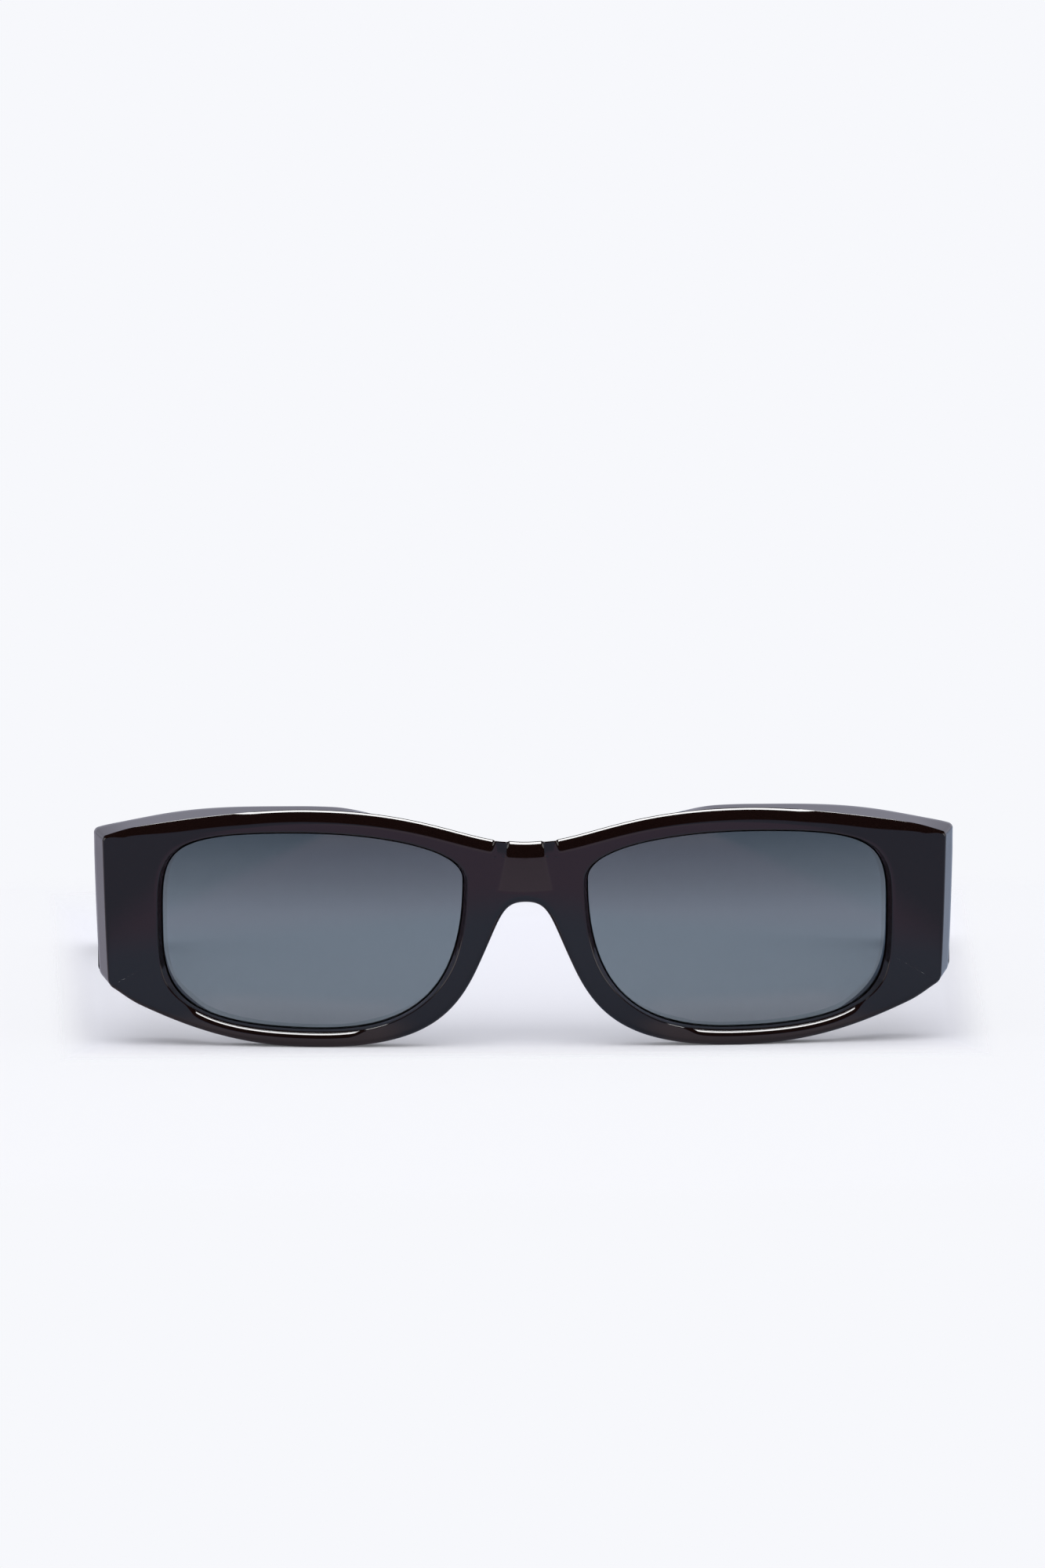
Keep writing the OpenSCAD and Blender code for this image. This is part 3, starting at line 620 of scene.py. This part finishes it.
def temple_stations(drop):
    """The centre, height and thickness along the temple, from the butt to the round tip."""
    found = []
    for t in butt_shares + list(np.linspace(0.012, 1, run_steps)[:-1]):
        inset = butt_r * (1 - math.sqrt(max(0, 1 - (1 - min(1, t * temple_run / butt_r)) ** 2)))
        found.append((mix(np.array([temple_y, hinge_z]), ear_start, t),
                      mix(ear_h, temple_h, (1 - t) ** 1.25) - 2 * inset,
                      mix(temple_t, ear_t, float(rise(t, 0, 1))) - 2 * inset))
    curve = ear_curve(drop)
    for t in np.linspace(0, 1, ear_steps):
        share = float(rise(t, 0, 1))
        found.append((bezier(curve, [t])[0], mix(ear_h, tip_h, share), mix(ear_t, tip_t, share)))
    end = bezier(curve, [1.0])[0]
    for k in range(1, tip_steps + 1):
        a = math.radians(k * 88 / tip_steps)
        found.append((end + tip_h / 2 * math.sin(a) * along(-tip_angle), tip_h * math.cos(a),
                      tip_t * (0.35 + 0.65 * math.cos(a))))
    return found


def temple_rings(drop):
    """The temple's section at each station: a rectangle with rounded corners, square to the way it runs."""
    found = temple_stations(drop)
    rings = []
    for i, (c, h, w) in enumerate(found):
        before, after = found[max(0, i - 1)][0], found[min(len(found) - 1, i + 1)][0]
        d = (after - before) / np.linalg.norm(after - before)
        if i < len(butt_shares):
            d = np.array([1.0, 0.0])
        up = np.array([-d[1], d[0]])
        r = min(temple_r, w / 2 - 0.05, h / 2 - 0.01)
        section = []
        for quarter, (sx, sy) in enumerate(((1, 1), (-1, 1), (-1, -1), (1, -1))):
            for s in range(corner_steps + 1):
                a = math.radians(quarter * 90 + s * 90 / corner_steps)
                section.append((sx * (w / 2 - r) + r * math.cos(a), sy * (h / 2 - r) + r * math.sin(a)))
            # The tall sides have points between the corners too
            if quarter in (1, 3):
                high = (h / 2 - r) * sy
                section += [(sx * w / 2, high * (1 - 2 * s / side_steps)) for s in range(1, side_steps)]
        rings.append([(temple_x(c[0]) + x, c[0] + y * up[0], c[1] + y * up[1]) for x, y in section])
    return np.array(rings)


# The ear part drops until the temple rests on the table
drop = -(ear_y + ear_run) * math.tan(lean) + tip_h / 2
for _ in range(2):
    drop -= stood(temple_rings(drop).reshape(-1, 3))[:, 2].min() / mm / math.cos(lean)
temple_body = temple_rings(drop)
for side, name in ((1, "left"), (-1, "right")):
    make_mesh(f"acetate_temple_{name}", stood(temple_body.reshape(-1, 3) * [side, 1, 1]),
              tube(*temple_body.shape[:2]), f"temple_{name}", acetate, f"temple_{name}",
              flip=side > 0)

# Hinges, screws and temple cores. Nickel silver leaves stamped and drilled, steel screws with a slotted
# head, and a drawn strip shot into each temple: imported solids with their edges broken.


def metal_material(name, colour, roughness, grain):
    """Bare metal with the marks of its making drawn out along the grain."""
    material, tree, shader = new_material(name)
    link = tree.links.new
    brushed = streaky(tree, grain, 4)
    darker = tuple(c * 0.82 for c in colour)
    link(blend_of(tree, brushed, darker, colour), shader.inputs["Base Color"])
    link(ramp(tree, brushed, 0, 1, roughness * 0.8, roughness * 1.3), shader.inputs["Roughness"])
    link(bumped(tree, brushed, 0.3, 0.03 * mm), shader.inputs["Normal"])
    shader.inputs["Metallic"].default_value = 1.0
    return material


nickel = metal_material("nickel_silver", (0.62, 0.60, 0.56), 0.28, (900, 900, 6000))
screw_steel = metal_material("turned_steel", (0.5, 0.5, 0.51), 0.3, (4000, 4000, 500))
strip = metal_material("drawn_strip", (0.55, 0.54, 0.52), 0.35, (4000, 300, 4000))
for name, node in frame["nodes"].items():
    if name.startswith(("front_hinge", "temple_hinge", "hinge_screw", "temple_core")):
        material = screw_steel if "screw" in name else strip if "core" in name else nickel
        if node.data.materials:
            node.data.materials[0] = material
        else:
            node.data.materials.append(material)
        joined = node.modifiers.new("one_skin", "WELD")
        joined.merge_threshold = 0.001 * mm
        broken = node.modifiers.new("broken_edges", "BEVEL")
        broken.width = 0.08 * mm
        broken.segments = 2
        broken.limit_method = "ANGLE"
        broken.angle_limit = math.radians(40)

# Table. White paper that runs out into a white surround. In a reflection it shows painted darker tones
# that stand in for the unlit part of a studio, in front of the object and behind.

white = (0.931, 0.939, 0.973)
table_r, table_sides = 3.0, 96
edge_turns = [2 * math.pi * k / table_sides for k in range(table_sides)]
table_points = [(0, 0, 0)] + [(table_r * math.cos(a), table_r * math.sin(a), 0) for a in edge_turns]
table_mesh = bpy.data.meshes.new("table_top")
table_mesh.from_pydata(table_points, [], [(0, 1 + k, 1 + (k + 1) % table_sides) for k in range(table_sides)])
table = bpy.data.objects.new("table_top", table_mesh)
bpy.context.scene.collection.objects.link(table)
paper, tree, shader = new_material("white_table")
shader.inputs["Roughness"].default_value = 0.9
shader.inputs["Specular IOR Level"].default_value = 0.0


def faded(tree, source, low, high, to_low=0.0, to_high=1.0):
    return ramp(tree, source, low, high, to_low, to_high, kind="SMOOTHSTEP")


def coordinates(tree, kind):
    """A place as a vector and as its X, Y and Z."""
    place = tree.nodes.new("ShaderNodeTexCoord").outputs[kind]
    apart = tree.nodes.new("ShaderNodeSeparateXYZ")
    tree.links.new(place, apart.inputs["Vector"])
    return place, *apart.outputs


place, x, y, _ = coordinates(tree, "Object")
seen = tree.nodes.new("ShaderNodeLightPath").outputs
# Painted reflection: in the polished acetate the table in front shows as a dim plum, bluer close by and to
# the sides, the table behind as grey, and next to nothing shows by way of a lens
mirrored = maths(tree, "MINIMUM", seen["Glossy Depth"], 1.0)
off_centre = maths(tree, "ABSOLUTE", x)
ahead = maths(tree, "SUBTRACT", y, maths(tree, "MULTIPLY", off_centre, 0.45))
plum = blend_of(tree, faded(tree, ahead, -0.205, -0.165), (0.57, 0.48, 0.68), (0.40, 0.55, 0.75))
plum = blend_of(tree, faded(tree, y, -0.42, -0.30), (0.74, 0.64, 0.78), plum)
# Just under the rims the painted reflection is lighter, to make up for the shade that falls there
below_rim = maths(tree, "MULTIPLY", faded(tree, off_centre, 0.018, 0.027),
                  faded(tree, off_centre, 0.055, 0.07, 1.0, 0.0))
under_rims = maths(tree, "MULTIPLY", faded(tree, y, -0.102, -0.09), below_rim)
plum = blend_of(tree, under_rims, plum, (1.0, 0.9, 1.0))
in_front = blend_of(tree, faded(tree, off_centre, 0.095, 0.115), plum, (0.30, 0.39, 0.54))
grey = blend_of(tree, faded(tree, x, -0.02, 0.02), (0.42, 0.41, 0.47), (0.36, 0.42, 0.52))
in_gloss = blend_of(tree, faded(tree, y, -0.085, -0.07), in_front, grey)
in_gloss = blend_of(tree, seen["Is Transmission Ray"], in_gloss, (0.02, 0.02, 0.025))
tree.links.new(blend_of(tree, mirrored, white, in_gloss), shader.inputs["Base Color"])
# To the eye the table runs out all round, and soonest just in front of the rims and beside the temples,
# painting out the shadow there
distance_out = tree.nodes.new("ShaderNodeVectorMath")
distance_out.operation = "LENGTH"
tree.links.new(place, distance_out.inputs[0])
runs_out = maths(tree, "MAXIMUM", faded(tree, distance_out.outputs["Value"], 0.12, 0.25),
                 faded(tree, y, -0.098, -0.070, 0.9, 0.0))
beside_temple = maths(tree, "SUBTRACT", off_centre, maths(tree, "MULTIPLY", y, 0.09))
runs_out = maths(tree, "MAXIMUM", runs_out, faded(tree, beside_temple, 0.078, 0.088, 0.0, 0.9))
clear = tree.nodes.new("ShaderNodeBsdfTransparent")
blend = tree.nodes.new("ShaderNodeMixShader")
tree.links.new(maths(tree, "MULTIPLY", runs_out, seen["Is Camera Ray"]), blend.inputs["Fac"])
tree.links.new(shader.outputs["BSDF"], blend.inputs[1])
tree.links.new(clear.outputs["BSDF"], blend.inputs[2])
tree.links.new(blend.outputs["Shader"], tree.nodes["Material Output"].inputs["Surface"])
table_mesh.materials.append(paper)

# Surround. White to the eye and through the lenses, and a plain pale light on everything matt.
# In a reflection it is pale behind up to eye level, and dark overhead and in front, where the room opens.

world = bpy.data.worlds.new("white_surround")
bpy.context.scene.world = world
world.use_nodes = True
tree = world.node_tree
_, _, y, z = coordinates(tree, "Generated")
seen = tree.nodes.new("ShaderNodeLightPath").outputs
low_behind = maths(tree, "MULTIPLY", faded(tree, y, -0.35, 0.1), faded(tree, z, 0.35, 0.5, 1.0, 0.0))
room = blend_of(tree, low_behind, (0.004, 0.003, 0.003), (0.435, 0.435, 0.52))
lit = blend_of(tree, seen["Is Diffuse Ray"], room, (0.70, 0.70, 0.75))
mirrored = maths(tree, "MINIMUM", seen["Glossy Depth"], 1.0)
through_lens = maths(tree, "SUBTRACT", seen["Is Transmission Ray"], mirrored)
to_eye = maths(tree, "MAXIMUM", seen["Is Camera Ray"], through_lens)
sky = tree.nodes["Background"]
tree.links.new(blend_of(tree, to_eye, lit, white), sky.inputs["Color"])
sky.inputs["Strength"].default_value = 1.0

# Lamps. A soft one overhead and a wide one in front light the matt surfaces, a bright panel overhead
# shows in the polished edges alone, and two soft ones stand low at the sides.


def soft_light(name, place, aim_at, size, power):
    data = bpy.data.lights.new(name, "AREA")
    data.shape = "RECTANGLE"
    data.size, data.size_y = size
    data.energy = power
    lamp = bpy.data.objects.new(name, data)
    bpy.context.scene.collection.objects.link(lamp)
    lamp.location = place
    lamp.rotation_euler = (Vector(aim_at) - Vector(place)).to_track_quat("-Z", "Y").to_euler()
    return lamp


soft_light("overhead", (0, -0.10, 0.9), (0, -0.08, 0.02), (0.9, 0.6), 1.1)
fill = soft_light("front_fill", (0, -0.7, 0.7), (0, -0.1, 0.0), (1.4, 0.5), 1.9)
fill.visible_glossy = False
glint = soft_light("brow_strip", (0, -0.20, 0.9), (0, -0.08, 0.02), (1.0, 0.66), 52.0)
glint.visible_diffuse = False
# Nor does what the edges throw on the table count: it would not be soft
glint.data.use_nodes = True
tree = glint.data.node_tree
bounces = tree.nodes.new("ShaderNodeLightPath").outputs["Diffuse Depth"]
tree.links.new(maths(tree, "LESS_THAN", bounces, 0.5), tree.nodes["Emission"].inputs["Strength"])
soft_light("side_left", (0.75, -0.35, 0.22), (0, -0.07, 0.02), (0.6, 0.4), 1.8)
soft_light("side_right", (-0.75, -0.35, 0.22), (0, -0.07, 0.02), (0.6, 0.4), 1.8)

# Camera. A little above the table, in front of the bridge.

picture_w, picture_h, sensor_h = 1333, 2000, 36
distance, elevation = 0.80, math.radians(6.2)
azimuth, roll, aside = math.radians(0.88), math.radians(0.23), math.radians(0.03)
# The front stands below the middle of the picture
raised = math.radians(1.76)
watched = Vector((0, -0.0797, 0.020))
camera_data = bpy.data.cameras.new("camera")
camera = bpy.data.objects.new("camera", camera_data)
bpy.context.scene.collection.objects.link(camera)
bpy.context.scene.camera = camera
level = math.cos(elevation)
back = Vector((-math.sin(azimuth) * level, -math.cos(azimuth) * level, math.sin(elevation)))
camera.location = watched + distance * back
turn = Matrix.Rotation(math.pi / 2 - elevation + raised, 3, "X")
turn = Matrix.Rotation(-azimuth + aside, 3, "Z") @ turn @ Matrix.Rotation(-roll, 3, "Z")
camera.rotation_euler = turn.to_euler()
camera_data.sensor_fit = "VERTICAL"
camera_data.sensor_height = sensor_h
camera_data.sensor_width = sensor_h * picture_w / picture_h
camera_data.lens = 108.98
camera_data.clip_start, camera_data.clip_end = 0.01, 20

bpy.context.scene.view_settings.view_transform = "Standard"
